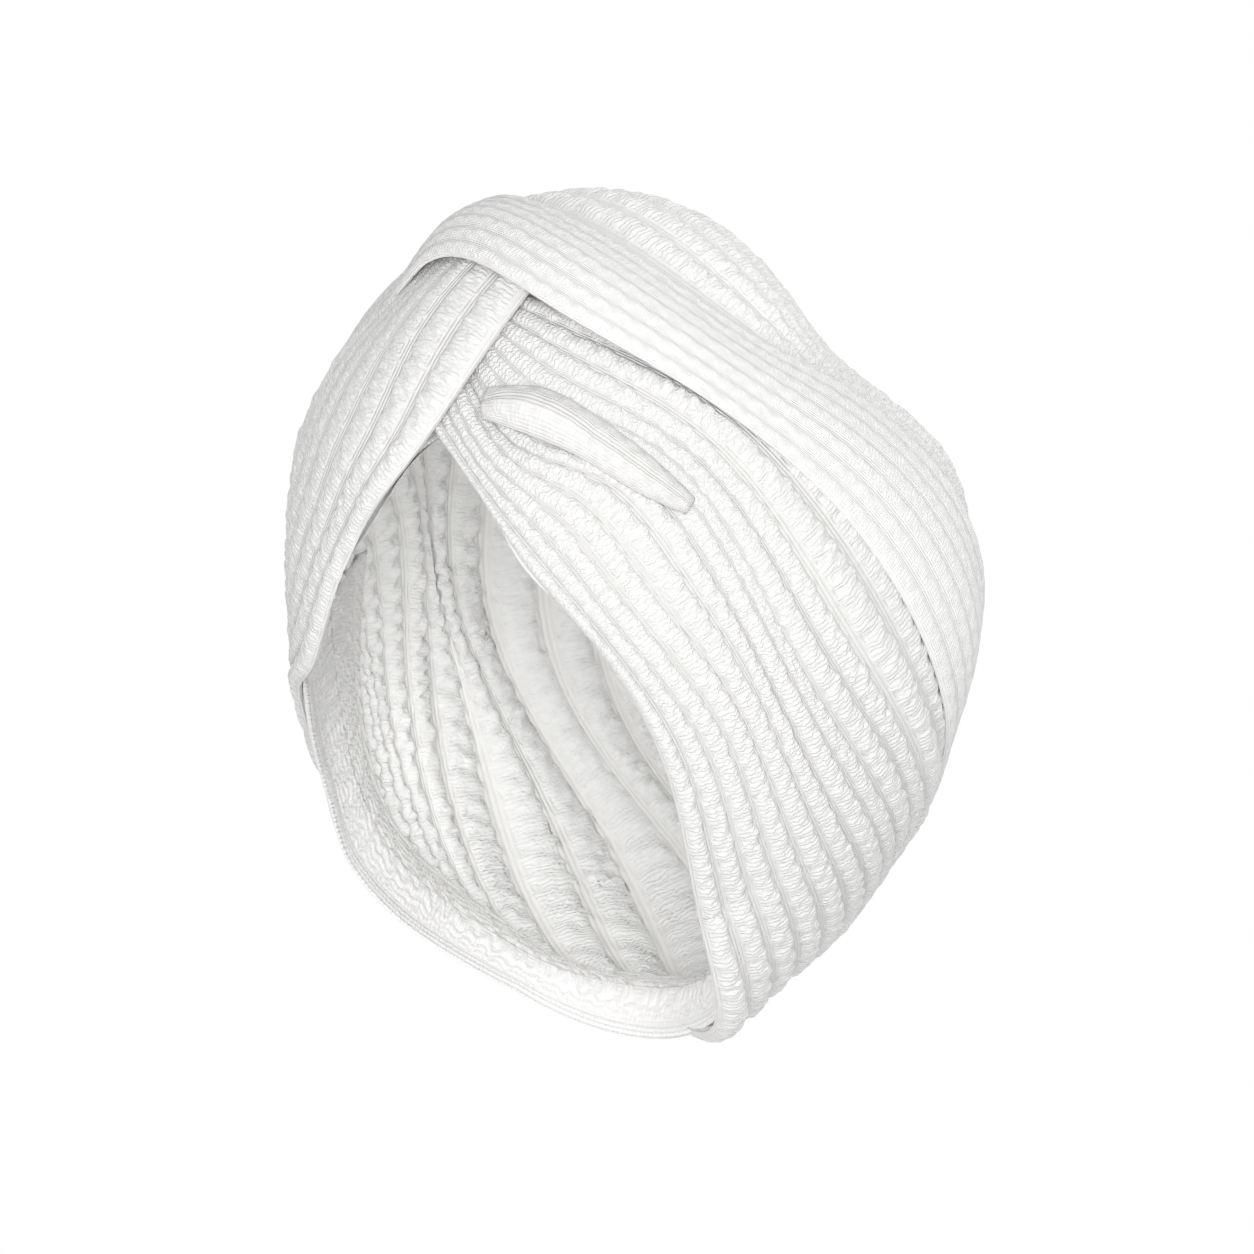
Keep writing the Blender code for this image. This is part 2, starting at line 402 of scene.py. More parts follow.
@dataclass(frozen=True)
class KnitFinishAndShade:
    """Matte off-white crinkle knit with fine wavy threads, their size and depth in metres, with
    painted shade: a darker, warmer colour painted into the channels and hollows.
    """

    name: str
    colour: Colour = (0.768, 0.765, 0.756)
    # painted shade: the colour painted into the channels and hollows
    painted_recess_shade: Colour = (0.722, 0.716, 0.70)
    roughness: float = 0.92
    shine: float = 0.2
    sheen: float = 0.25
    sheen_roughness: float = 0.5
    thread: float = 0.0013
    thread_depth: float = 0.00035
    thread_strength: float = 0.8
    fuzziness: float = 0.45
    patchiness: float = 0.25

    def threads(self, kit: NodeKit, place: bpy.types.NodeSocket,
                puffing: bpy.types.NodeSocket) -> bpy.types.NodeSocket:
        """The threads: waves that cross the puffs, and straight lines in the channels.

        Args:
            kit: The material's nodes.
            place: The place on the cloth map, in threads.
            puffing: The puffing from 0 in a channel to 1 on a puff.

        Returns:
            The output that gives the threads' height.
        """
        crossing = kit.add(
            "ShaderNodeTexWave",
            {"Scale": 0.314, "Distortion": 5.0, "Detail": 1.0, "Detail Scale": 2.3},
            wave_type="BANDS", bands_direction="Y")
        running = kit.add(
            "ShaderNodeTexWave", {"Scale": 0.36, "Distortion": 0.8, "Detail Scale": 0.4},
            wave_type="BANDS", bands_direction="X")
        fuzz = kit.add("ShaderNodeTexNoise", {"Scale": 2.4, "Detail": 3.0})
        for texture in (crossing, running, fuzz):
            kit.link(place, texture.inputs["Vector"])
        choice = kit.add("ShaderNodeMapRange", {"From Min": 0.10, "From Max": 0.35})
        kit.link(puffing, choice.inputs["Value"])
        threads = kit.add("ShaderNodeMix", data_type="FLOAT")
        kit.link(choice.outputs["Result"], threads.inputs["Factor"])
        kit.link(running.outputs["Fac"], threads.inputs["A"])
        kit.link(crossing.outputs["Fac"], threads.inputs["B"])
        woven = kit.add("ShaderNodeMath", {1: self.fuzziness}, operation="MULTIPLY_ADD")
        kit.link(fuzz.outputs["Fac"], woven.inputs[0])
        kit.link(threads.outputs["Result"], woven.inputs[2])
        return woven.outputs["Value"]

    def tint_and_painted_shade(self, kit: NodeKit, place: bpy.types.NodeSocket,
             puffing: bpy.types.NodeSocket) -> bpy.types.NodeSocket:
        """The colour, with painted shade a little warmer and darker in the channels and recesses,
        and soft uneven patches of tone.

        Args:
            kit: The material's nodes.
            place: The place on the cloth map, in threads.
            puffing: The puffing from 0 in a channel to 1 on a puff.

        Returns:
            The output that gives the colour.
        """
        patches = kit.add("ShaderNodeTexNoise", {"Scale": 0.05})
        kit.link(place, patches.inputs["Vector"])
        # painted shade where the puffing is low, with random patches of tone mixed in
        shade_and_patches = kit.add("ShaderNodeMath", {1: self.patchiness}, operation="MULTIPLY_ADD")
        kit.link(patches.outputs["Fac"], shade_and_patches.inputs[0])
        kit.link(puffing, shade_and_patches.inputs[2])
        spread = kit.add("ShaderNodeMapRange", {"From Min": 0.05, "From Max": 0.75})
        kit.link(shade_and_patches.outputs["Value"], spread.inputs["Value"])
        colour = kit.add("ShaderNodeMix", {"A": (*self.painted_recess_shade, 1.0), "B": (*self.colour, 1.0)},
                         data_type="RGBA")
        kit.link(spread.outputs["Result"], colour.inputs["Factor"])
        return colour.outputs["Result"]

    def material(self) -> bpy.types.Material:
        """The finish as a node material that follows the panel's own map.

        Returns:
            The new material.
        """
        material = bpy.data.materials.new(self.name)
        material.use_nodes = True
        kit = NodeKit(material.node_tree)
        shader = material.node_tree.nodes["Principled BSDF"]
        shader.inputs["Roughness"].default_value = self.roughness
        shader.inputs["Specular IOR Level"].default_value = self.shine
        shader.inputs["Sheen Weight"].default_value = self.sheen
        shader.inputs["Sheen Roughness"].default_value = self.sheen_roughness
        cloth = kit.add("ShaderNodeUVMap", uv_map="cloth")
        scaled = kit.add("ShaderNodeMapping", {"Scale": (1 / self.thread, 1 / self.thread, 1.0)})
        kit.link(cloth.outputs["UV"], scaled.inputs["Vector"])
        place = scaled.outputs["Vector"]
        puffing = kit.add("ShaderNodeAttribute", attribute_name="puffing").outputs["Fac"]
        bump = kit.add(
            "ShaderNodeBump", {"Strength": self.thread_strength, "Distance": self.thread_depth})
        kit.link(self.threads(kit, place, puffing), bump.inputs["Height"])
        kit.link(bump.outputs["Normal"], shader.inputs["Normal"])
        kit.link(self.tint_and_painted_shade(kit, place, puffing), shader.inputs["Base Color"])
        return material


class FinishAndPaintedLight(Enum):
    """Copies of the one off-white knit whose colours are set apart as painted light: INSIDE is
    painted much lighter on the shaded inside of the cap, and SMOOTH and HEM lighter than RIBBED.
    """

    RIBBED = KnitFinishAndShade("white_crinkle_knit")
    # painted light: the inside is painted much lighter than the outside of the same knit
    INSIDE = KnitFinishAndShade("inner_crinkle_knit_painted_light", colour=(0.95, 0.947, 0.936),
                        painted_recess_shade=(0.90, 0.893, 0.876), thread_depth=0.00018)
    SMOOTH = KnitFinishAndShade("smooth_crinkle_knit_painted_light", colour=(0.87, 0.867, 0.857),
                        painted_recess_shade=(0.835, 0.83, 0.817))
    HEM = KnitFinishAndShade("hem_knit_painted_light", colour=(0.87, 0.866, 0.855), painted_recess_shade=(0.82, 0.813, 0.80),
                     thread_depth=0.00015)


@dataclass
class ClothPanel:
    """One panel of knit: a ribbed sheet on the dome with a thickness and soft edges.

    The lift is the plain face's height over the dome and the cloth is its bare thickness. The
    hem is the roll of the front edge, and the edges round off over the edge length, times the
    end edge at the two ends. Under holds folds that thicken the cloth towards the dome.
    """

    name: str
    node: str
    slot: str
    stations: tuple[float, ...]
    guides: tuple[Guide, ...]
    ribs: int
    columns_per_rib: int
    rows: int
    lift: float
    cloth: float
    finish: FinishAndPaintedLight
    flat: tuple[float, float]
    rests_on: tuple[str, ...]
    knit: Knit = Knit.PUFFED
    folds: tuple[Fold, ...] = ()
    rides: tuple[Ride, ...] = ()
    under: tuple[Fold, ...] = ()
    hem: float = 0.0
    hem_roundness: float = 0.7
    edge: float = 0.0022
    end_edge: float = 0.4
    back_stride: int = 4
    inward: bool = False
    area: float | None = None
    seed: float = 0.0
    dome: Dome = field(default_factory=Dome)

    def directions(self, share: Array, ribs: Array) -> Array:
        """Directions of the grid from the dome's centre.

        Args:
            share: Shares of the panel's length, one a row.
            ribs: Counted ribs, one a column.

        Returns:
            Unit vectors, rows by columns.
        """
        lines = []
        for guide in self.guides:
            lon, lat = np.array(guide.path, float).T
            line = cubic(self.stations, on_globe(lon, lat), share)
            lines.append(line / np.linalg.norm(line, axis=1, keepdims=True))
        stacked = np.array(lines)
        across = cubic([g.rib for g in self.guides], stacked.reshape(len(lines), -1), ribs)
        grid = across.reshape(len(ribs), len(share), 3).transpose(1, 0, 2)
        return grid / np.linalg.norm(grid, axis=2, keepdims=True)

    def grid(self) -> Grid:
        """The panel's inner face with its folds and rides, before the knit is added.

        Returns:
            The grid, its directions and lengths.
        """
        share = np.linspace(0, 1, self.rows)
        ribs = np.linspace(0, self.ribs, self.ribs * self.columns_per_rib + 1)
        direction = self.directions(share, ribs)
        s, r = np.meshgrid(share, ribs, indexing="ij")
        radius = self.dome.radius(direction) + self.lift
        for fold in self.folds:
            radius = radius + fold.height * fold.shape(s, r)
        for ride in self.rides:
            radius = radius + ride.lift(s, r / self.ribs)
        points = direction * radius[..., None] - np.array(self.dome.seat)
        down = np.gradient(points, axis=0)
        across = np.gradient(points, ribs, axis=1)
        pitch = np.linalg.norm(across, axis=2)
        outward = np.cross(down, across)
        size = np.linalg.norm(outward, axis=2, keepdims=True)
        outward = np.where(size > NO_AREA, outward / np.maximum(size, NO_AREA), direction)
        outward = outward * np.sign(np.sum(outward * direction, axis=2, keepdims=True))
        run = np.cumsum(np.linalg.norm(down, axis=2), axis=0)
        sideways = across / np.maximum(pitch, NO_LENGTH)[..., None]
        grid = Grid(points, outward, sideways, r, s, run, pitch, run)
        columns = np.arange(len(ribs))
        counted = np.minimum(columns // self.columns_per_rib, self.ribs - 1)
        return replace(grid, square=self.square_run(grid, columns, counted))

    def square_run(self, grid: Grid, columns: Array, ribs: Array) -> Array:
        """Length along the ribs, measured square to them where the cloth is skewed.

        Args:
            grid: The panel's grid.
            columns: The columns wanted.
            ribs: The rib that each of these columns is counted in.

        Returns:
            Metres from the start of the panel, rows by the columns wanted.
        """
        middle = ribs * self.columns_per_rib + self.columns_per_rib // 2
        centre = grid.points[:, middle]
        forward = np.gradient(centre, axis=0)
        length = np.linalg.norm(forward, axis=2, keepdims=True)
        forward = forward / np.maximum(length, NO_LENGTH)
        return grid.run[:, middle] + np.sum((grid.points[:, columns] - centre) * forward, axis=2)

    def pressed(self, grid: Grid) -> Array:
        """How much the folds press the knit flat.

        Args:
            grid: The panel's grid.

        Returns:
            The share of the relief that is left, from 0 to 1.
        """
        left = np.ones_like(grid.share)
        for fold in self.folds:
            left = left * np.clip(1 - fold.pressed * fold.shape(grid.share, grid.ribs), 0, 1)
        return left

    def edge_rounding(self, grid: Grid) -> Array:
        """How the thickness rounds off near the panel's edges.

        Args:
            grid: The panel's grid.

        Returns:
            The share of the full thickness, from 0 at the very edge to 1 inside.
        """
        side = np.minimum(grid.ribs, self.ribs - grid.ribs) * grid.pitch
        end = np.minimum(grid.run, grid.run[-1:] - grid.run) / self.end_edge
        inset = np.clip(np.minimum(side, end) / self.edge, 0, 1)
        return np.sqrt(1 - (1 - inset) ** 2)

    def hem_roll(self, grid: Grid) -> Array:
        """Extra thickness of the rolled front edge, in metres."""
        return self.hem * np.sin(np.pi * np.clip(grid.ribs, 0, 1)) ** self.hem_roundness

    def faces(self, grid: Grid) -> tuple[Array, Array, Array]:
        """The panel's two faces.

        Args:
            grid: The panel's grid.

        Returns:
            The knitted face's points, the plain face's points and the puffing.
        """
        height, puffing = self.knit.value.relief(grid, self.seed)
        height = height * self.pressed(grid)
        thickness = self.cloth + height + self.hem_roll(grid)
        rounding = self.edge_rounding(grid)
        middle = thickness / 2
        outer = grid.points + grid.outward * (middle + middle * rounding)[..., None]
        outer = outer + grid.sideways * (self.knit.value.lean * height * rounding)[..., None]
        below = sum((f.height * f.shape(grid.share, grid.ribs) for f in self.under), 0.0)
        below = self.cloth / 2 * (1 - rounding) - below * rounding
        return outer, grid.points + grid.outward * below[..., None], puffing

    def build(self) -> bpy.types.Object:
        """The panel as a closed mesh object with its cloth map.

        Returns:
            The new object.
        """
        grid = self.grid()
        face, back, puffing = self.faces(grid)
        rows, columns = grid.share.shape
        keep = np.ix_(range(0, rows, self.back_stride), range(0, columns, self.back_stride))
        back = back[keep]
        face_ids = np.arange(rows * columns).reshape(rows, columns)
        back_ids = rows * columns + np.arange(back[..., 0].size).reshape(back.shape[:2])
        faces = self.quads(face_ids) + self.quads(back_ids[:, ::-1])
        faces = faces + self.rim(face_ids, back_ids)
        points = np.concatenate((face.reshape(-1, 3), back.reshape(-1, 3)))
        mesh = bpy.data.meshes.new(self.name)
        mesh.from_pydata(points.tolist(), [], faces)
        mesh.update()
        self.mark(mesh, grid, keep, puffing)
        middle = mesh.polygons[(rows // 2) * (columns - 1) + columns // 2]
        outward = np.dot(middle.normal, np.array(middle.center) + np.array(self.dome.seat)) > 0
        if outward == self.inward:
            mesh.flip_normals()
        mesh.shade_smooth()
        piece = bpy.data.objects.new(self.name, mesh)
        bpy.context.scene.collection.objects.link(piece)
        return piece

    def rim(self, face_ids: Array, back_ids: Array) -> list[tuple[int, ...]]:
        """The faces round the panel's edge, from its fine grid to the coarser one behind it.

        Args:
            face_ids: The vertex numbers of the knitted face's grid.
            back_ids: The vertex numbers of the plain face's grid.

        Returns:
            The vertex numbers of each face.
        """
        faces = []
        step = self.back_stride
        for fine, coarse in (
                (face_ids[0], back_ids[0]), (face_ids[-1, ::-1], back_ids[-1, ::-1]),
                (face_ids[::-1, 0], back_ids[::-1, 0]), (face_ids[:, -1], back_ids[:, -1])):
            for i in range(len(coarse) - 1):
                span = fine[i * step:(i + 1) * step + 1]
                faces.append((*span[::-1].tolist(), int(coarse[i]), int(coarse[i + 1])))
        return faces

    @staticmethod
    def quads(ids: Array) -> list[tuple[int, ...]]:
        """The four-sided faces of a grid of vertex numbers."""
        corners = np.stack((ids[:-1, :-1], ids[:-1, 1:], ids[1:, 1:], ids[1:, :-1]), axis=-1)
        return [tuple(c) for c in corners.reshape(-1, 4).tolist()]

    def mark(self, mesh: bpy.types.Mesh, grid: Grid, keep: tuple[Array, ...],
             puffing: Array) -> None:
        """Stores the cloth map, in metres, and the puffing on the panel's mesh.

        Args:
            mesh: The mesh, with the knitted face's quads first.
            grid: The panel's grid.
            keep: The grid's points that the plain face has.
            puffing: The puffing at each point of the grid.
        """
        corners = np.empty(len(mesh.loops), np.int32)
        mesh.loops.foreach_get("vertex_index", corners)
        width = grid.ribs * RIB_WIDTH
        flat = np.stack((
            np.concatenate((width.ravel(), width[keep].ravel())),
            np.concatenate((grid.square.ravel(), grid.square[keep].ravel()))), axis=1)[corners]
        columns = np.arange(grid.ribs.shape[1] - 1)
        counted = columns // self.columns_per_rib
        left = self.square_run(grid, columns, counted)
        right = self.square_run(grid, columns + 1, counted)
        # each quad of the knitted face keeps to its own rib, so the map is cut at the channels
        run = np.stack((left[:-1], right[:-1], right[1:], left[1:]), axis=-1).ravel()
        flat[:len(run), 1] = run
        layer = mesh.uv_layers.new(name="cloth")
        layer.data.foreach_set("uv", flat.astype(np.float32).ravel())
        # the puffing also carries the painted shade of the finish
        attribute = mesh.attributes.new("puffing", "FLOAT", "POINT")
        puffs = np.concatenate((puffing.ravel(), puffing[keep].ravel()))
        attribute.data.foreach_set("value", puffs.astype(np.float32))

    def dress(self) -> bpy.types.Object:
        """Builds the piece and gives it its finish and its place.

        Returns:
            The finished piece.
        """
        piece = self.build()
        piece.data.materials.append(self.finish.value.material())
        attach(piece, "root")
        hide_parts(self.node)
        LOG.info("%s: %d faces", self.name, len(piece.data.polygons))
        return piece


# shares of a panel's length at which its guides are given
STATIONS = (0.0, 0.1, 0.22, 0.36, 0.5, 0.66, 0.83, 1.0)
CAP_STATIONS = (0.0, 0.125, 0.25, 0.375, 0.5, 0.625, 0.75, 0.875, 1.0)
FOLD_STATIONS = (0.0, 0.11, 0.21, 0.31, 0.39, 0.46, 0.53, 0.61, 0.7, 0.8, 0.9, 1.0)
BAND_STATIONS = (0.0, 0.09, 0.17, 0.28, 0.4, 0.53, 0.66, 0.78, 0.9, 1.0)
TUCK_STATIONS = (0.0, 0.25, 0.5, 0.75, 1.0)
# the lon at which the panels meet at the middle of the back, a hair short of 180
BACK = 179.75
CROWN_RIBS = 32
CROWN_FRONT = Guide(0, ((0, 16), (-7, 10), (-15, 0), (-27, -8), (-42, -11), (-58, -10),
                        (-72, -16), (-82, -31)))


@dataclass
class CrownInside(ClothPanel):
    """The inside of the cap, its ribs fanning out from under the knot."""

    name: str = "crown_inner_knit"
    node: str = "crown"
    slot: str = "crown_knit"
    stations: tuple[float, ...] = STATIONS
    guides: tuple[Guide, ...] = (
        CROWN_FRONT,
        Guide(4, ((0, 16), (-12, 16), (-26, 14), (-42, 11), (-60, 6), (-79, -4),
                  (-93, -22), (-101, -46))),
        Guide(6, ((0, 16), (-12, 20), (-29, 22), (-48, 21), (-69, 16), (-90, 1),
                  (-103, -27), (-124, -57))),
        Guide(8, ((0, 16), (-13, 24), (-31, 30), (-53, 32), (-76, 27), (-98, 11),
                  (-112, -18), (-140, -59.5))),
        Guide(10, ((0, 16), (-12, 28), (-31, 41), (-60, 49), (-90, 36), (-110, 1),
                   (-137, -28), (-178, -60))),
        Guide(11, ((0, 16), (-11, 31), (-30, 46), (-64, 56), (-99, 42), (-119, 1),
                   (-151, -30), (162, -60.5))),
        Guide(12, ((0, 16), (-11, 33), (-30, 51), (-70, 62), (-111, 44), (-133, -4),
                   (-168, -32), (150, -61))),
        Guide(15, ((0, 16), (-9, 36), (-26, 60), (-98, 72), (-140, 42), (-160, -3),
                   (166, -33), (133, -59))),
        Guide(19, ((0, 16), (-2, 38), (-2, 66), (160, 82), (166, 48), (165, 10),
                   (146, -28), (118, -54.5))),
        Guide(24, ((0, 16), (10, 29), (30, 42), (64, 51), (100, 37), (118, 10),
                   (122, -24), (106, -49))),
        Guide(28, ((0, 16), (12, 18), (28, 19), (48, 19), (70, 14), (88, 0),
                   (98, -20), (95, -41.5))),
        CROWN_FRONT.mirrored(CROWN_RIBS),
    )
    ribs: int = CROWN_RIBS
    columns_per_rib: int = 12
    rows: int = 241
    lift: float = 0.0
    cloth: float = 0.0009
    knit: Knit = Knit.INSIDE
    # painted light: the much lighter copy of the knit, against the shade inside the cap
    finish: FinishAndPaintedLight = FinishAndPaintedLight.INSIDE
    flat: tuple[float, float] = (0.28, 0.33)
    rests_on: tuple[str, ...] = ("crown_outer_knit",)
    edge: float = 0.0010
    folds: tuple[Fold, ...] = (
        Fold(9.8, 0.7, 0.52, 1.05, -0.0032),
        Fold(11.0, 0.5, 0.55, 1.02, 0.0016),
        Fold(12.2, 0.8, 0.62, 1.0, -0.0016),
        Fold(7.2, 0.6, 0.55, 1.0, -0.0014),
    )
    inward: bool = True
    seed: float = 3.0
    smooth_end: float = 0.009

    def faces(self, grid: Grid) -> tuple[Array, Array, Array]:
        """The inside's two faces, with the knit towards the head.

        Args:
            grid: The panel's grid.

        Returns:
            The knitted face's points, the plain face's points and the puffing.
        """
        height, puffing = self.knit.value.relief(grid, self.seed)
        height = height * ease((grid.run[-1:] - grid.run) / self.smooth_end)
        half, rounding = self.cloth / 2, self.edge_rounding(grid)
        middle = grid.points + grid.outward * half
        face = middle - grid.outward * ((half + height) * rounding)[..., None]
        return face, middle + grid.outward * (half * rounding)[..., None], puffing


@dataclass
class CrownOutside(ClothPanel):
    """The top of the cap that shows behind the top fold, its ribs running side to side."""

    name: str = "crown_outer_knit"
    node: str = "crown"
    slot: str = "crown_knit"
    stations: tuple[float, ...] = CAP_STATIONS
    guides: tuple[Guide, ...] = (
        Guide(0, ((-139, 2), (-112, 19), (-82, 31), (-47, 41), (-10, 47),
                  (27, 42), (64, 38.5), (104, 25), (141, 0))),
        Guide(5, ((-139, 4), (-122, 26), (-108, 45), (-85, 63), (-15, 79),
                  (60, 69), (82, 54), (112, 34), (141, 2))),
        Guide(10, ((-140, 5), (-137, 26), (-138, 42), (-149, 57), (180, 66),
                   (148, 60), (136, 44), (134, 24), (141, 4))),
        Guide(15, ((-140, 6), (-147, 17), (-155, 25), (-167, 30), (180, 32),
                   (167, 30), (155, 25), (146, 15), (141, 5))),
        Guide(20, ((-140, 6), (-149, 3), (-160, 0), (-170, -2), (180, -3),
                   (170, -2), (160, -1), (150, 1), (141, 4))),
    )
    ribs: int = 20
    columns_per_rib: int = 12
    rows: int = 361
    lift: float = 0.0010
    cloth: float = 0.0010
    knit: Knit = Knit.PUFFED
    finish: FinishAndPaintedLight = FinishAndPaintedLight.SMOOTH
    flat: tuple[float, float] = (0.18, 0.30)
    area: float | None = 0.036
    rests_on: tuple[str, ...] = ()
    seed: float = 16.0


@dataclass
class LeftSideWrap(ClothPanel):
    """The gathered panel from the knot round the wearer's left side to the back."""

    name: str = "left_side_wrap_knit"
    node: str = "left_side_wrap"
    slot: str = "left_wrap_knit"
    stations: tuple[float, ...] = STATIONS
    guides: tuple[Guide, ...] = (
        Guide(0, ((-3, 16), (9, 7), (20, -3), (35, -14), (52, -30),
                  (77, -52), (122, -63), (BACK, -59.5))),
        Guide(3, ((0, 20.5), (10, 12), (23, 6), (38, -5), (58, -19),
                  (83, -38), (128, -50), (BACK, -51))),
        Guide(6, ((2, 25), (15, 17), (30, 16), (46, 7), (63, -8),
                  (90, -26), (132, -36), (BACK, -41))),
        Guide(9, ((4, 30), (17, 26), (33, 23), (50, 15), (70, -1),
                  (97, -15), (136, -26), (BACK, -31))),
        Guide(12, ((6, 36), (21, 35), (38, 34), (56, 30), (79, 19),
                   (107, -1), (141, -12), (BACK, -17))),
    )
    ribs: int = 12
    columns_per_rib: int = 14
    rows: int = 441
    lift: float = 0.0049
    cloth: float = 0.0018
    knit: Knit = Knit.PUFFED
    finish: FinishAndPaintedLight = FinishAndPaintedLight.RIBBED
    flat: tuple[float, float] = (0.10, 0.27)
    rests_on: tuple[str, ...] = ("crown_outer_knit",)
    folds: tuple[Fold, ...] = (
        Fold(8.4, 0.7, 0.24, 0.76, 0.0017),
        Fold(6.6, 0.6, 0.3, 0.85, 0.0008),
        Fold(5.8, 0.8, 0.06, 0.7, -0.0012),
        Fold(5.0, 1.1, -0.1, 0.14, -0.0026, 0.6),
        Fold(7.5, 2.6, -0.1, 0.5, 0.0, 0.7),
        Fold(-0.3, 2.4, 0.69, 0.95, 0.0095),
        Fold(12.6, 0.8, -0.6, 1.6, 0.0, 1.0),
        Fold(12, 2.4, -0.6, 1.05, -0.0008),
        Fold(10.4, 0.7, 0.08, 1.0, 0.0018),
        Fold(12.3, 0.8, 0.3, 2.0, -0.0003, 0.5),
    )
    hem: float = 0.0015
    seed: float = 19.0


@dataclass
class RightSideWrap(ClothPanel):
    """The panel that crosses over at the brow and runs round the wearer's right side."""

    name: str = "right_side_wrap_knit"
    node: str = "right_side_wrap"
    slot: str = "right_wrap_knit"
    stations: tuple[float, ...] = STATIONS
    guides: tuple[Guide, ...] = (
        Guide(0, ((9, 37), (5, 24), (-3, 8), (-18, -8), (-37, -25.5),
                  (-67, -29.5), (-108, -53.5), (-BACK, -58))),
        Guide(2, ((-3, 40), (-8, 27), (-12, 12), (-25, -4), (-45, -18),
                  (-74, -23), (-112, -45), (-BACK, -49))),
        Guide(4, ((-9, 42), (-17, 32), (-24, 17), (-34, 3), (-51, -9),
                  (-78, -15), (-115, -36), (-BACK, -40))),
        Guide(9, ((-14, 46), (-26, 42), (-39, 37), (-53, 32), (-72, 24),
                  (-98, 11), (-133, -9), (-BACK, -17))),
    )
    ribs: int = 9
    columns_per_rib: int = 16
    rows: int = 401
    lift: float = 0.0052
    cloth: float = 0.0018
    knit: Knit = Knit.FINE
    finish: FinishAndPaintedLight = FinishAndPaintedLight.RIBBED
    flat: tuple[float, float] = (0.10, 0.277)
    rests_on: tuple[str, ...] = ("crown_outer_knit",)
    folds: tuple[Fold, ...] = (
        Fold(9.2, 1.0, -0.6, 1.5, 0.0, 1.0),
        Fold(9, 2.0, -0.6, 0.9, -0.0010),
        Fold(9.0, 0.8, 0.1, 2.0, -0.0009, 0.5),
        Fold(7.4, 1.8, -0.25, 0.3, 0.0030),
        Fold(4.4, 3.0, -0.4, 0.42, 0.0, 0.75),
        Fold(7.0, 0.7, 0.1, 0.9, 0.0012),
    )
    rides: tuple[Ride, ...] = (Ride(-0.2, 0.36, 0.0, 0.42, 0.0036),)
    hem: float = 0.0006
    edge: float = 0.0034
    seed: float = 20.0


@dataclass
class TopFold(ClothPanel):
    """The broad smooth roll across the brow, above both panels and round to the back."""

    name: str = "top_fold_knit"
    node: str = "top_fold"
    slot: str = "fold_knit"
    stations: tuple[float, ...] = FOLD_STATIONS
    guides: tuple[Guide, ...] = (
        Guide(0, ((-BACK, -20), (-140, -14), (-100, 2), (-65, 20), (-35, 31), (-10, 37),
                  (15, 32.2), (45, 27.6), (78, 15), (112, -6), (145, -15.5), (BACK, -20))),
        Guide(7, ((-BACK, 0), (-138, 8), (-100, 28), (-65, 39), (-35, 47), (-10, 50),
                  (15, 47), (48, 42), (85, 41), (115, 20), (143, 6), (BACK, 0))),
    )
    ribs: int = 7
    columns_per_rib: int = 12
    rows: int = 601
    lift: float = 0.0052
    cloth: float = 0.0018
    knit: Knit = Knit.STRETCHED
    finish: FinishAndPaintedLight = FinishAndPaintedLight.SMOOTH
    flat: tuple[float, float] = (0.046, 0.50)
    rests_on: tuple[str, ...] = (
        "crown_outer_knit", "left_side_wrap_knit", "right_side_wrap_knit")
    folds: tuple[Fold, ...] = (Fold(3.0, 2.6, -0.2, 1.2, 0.0028),)
    rides: tuple[Ride, ...] = (
        Ride(0.38, 0.63, 0.2, 0.7, 0.0068),
        Ride(-0.2, 1.2, 0.0, 0.25, 0.0008),
        Ride(-0.2, 0.27, 0.0, 0.3, 0.0016),
        Ride(0.82, 1.2, 0.0, 0.3, 0.0014),
    )
    under: tuple[Fold, ...] = (Fold(7.2, 0.9, -2.0, 3.0, 0.0016),)
    edge: float = 0.0018
    seed: float = 13.0


@dataclass
class SideTuck(ClothPanel):
    """The rolled pleat on the wearer's left, under the top fold."""

    name: str = "side_tuck_knit"
    node: str = "side_tuck"
    slot: str = "tuck_knit"
    stations: tuple[float, ...] = TUCK_STATIONS
    guides: tuple[Guide, ...] = (
        Guide(0, ((7.5, 17.2), (16, 16.4), (25, 15.0), (33, 12.8), (42, 11.5))),
        Guide(2, ((7, 21.6), (16, 23.2), (25, 21.4), (34, 18.4), (43, 14.2))),
    )
    ribs: int = 2
    columns_per_rib: int = 16
    rows: int = 101
    lift: float = 0.0062
    cloth: float = 0.0014
    knit: Knit = Knit.ROLLED
    finish: FinishAndPaintedLight = FinishAndPaintedLight.RIBBED
    flat: tuple[float, float] = (0.0135, 0.066)
    rests_on: tuple[str, ...] = ("left_side_wrap_knit",)
    folds: tuple[Fold, ...] = (
        Fold(0.85, 0.6, -0.02, 0.5, 0.0035), Fold(0.85, 0.65, -0.02, 1.1, 0.0028))
    edge: float = 0.0020
    end_edge: float = 1.0
    seed: float = 14.0


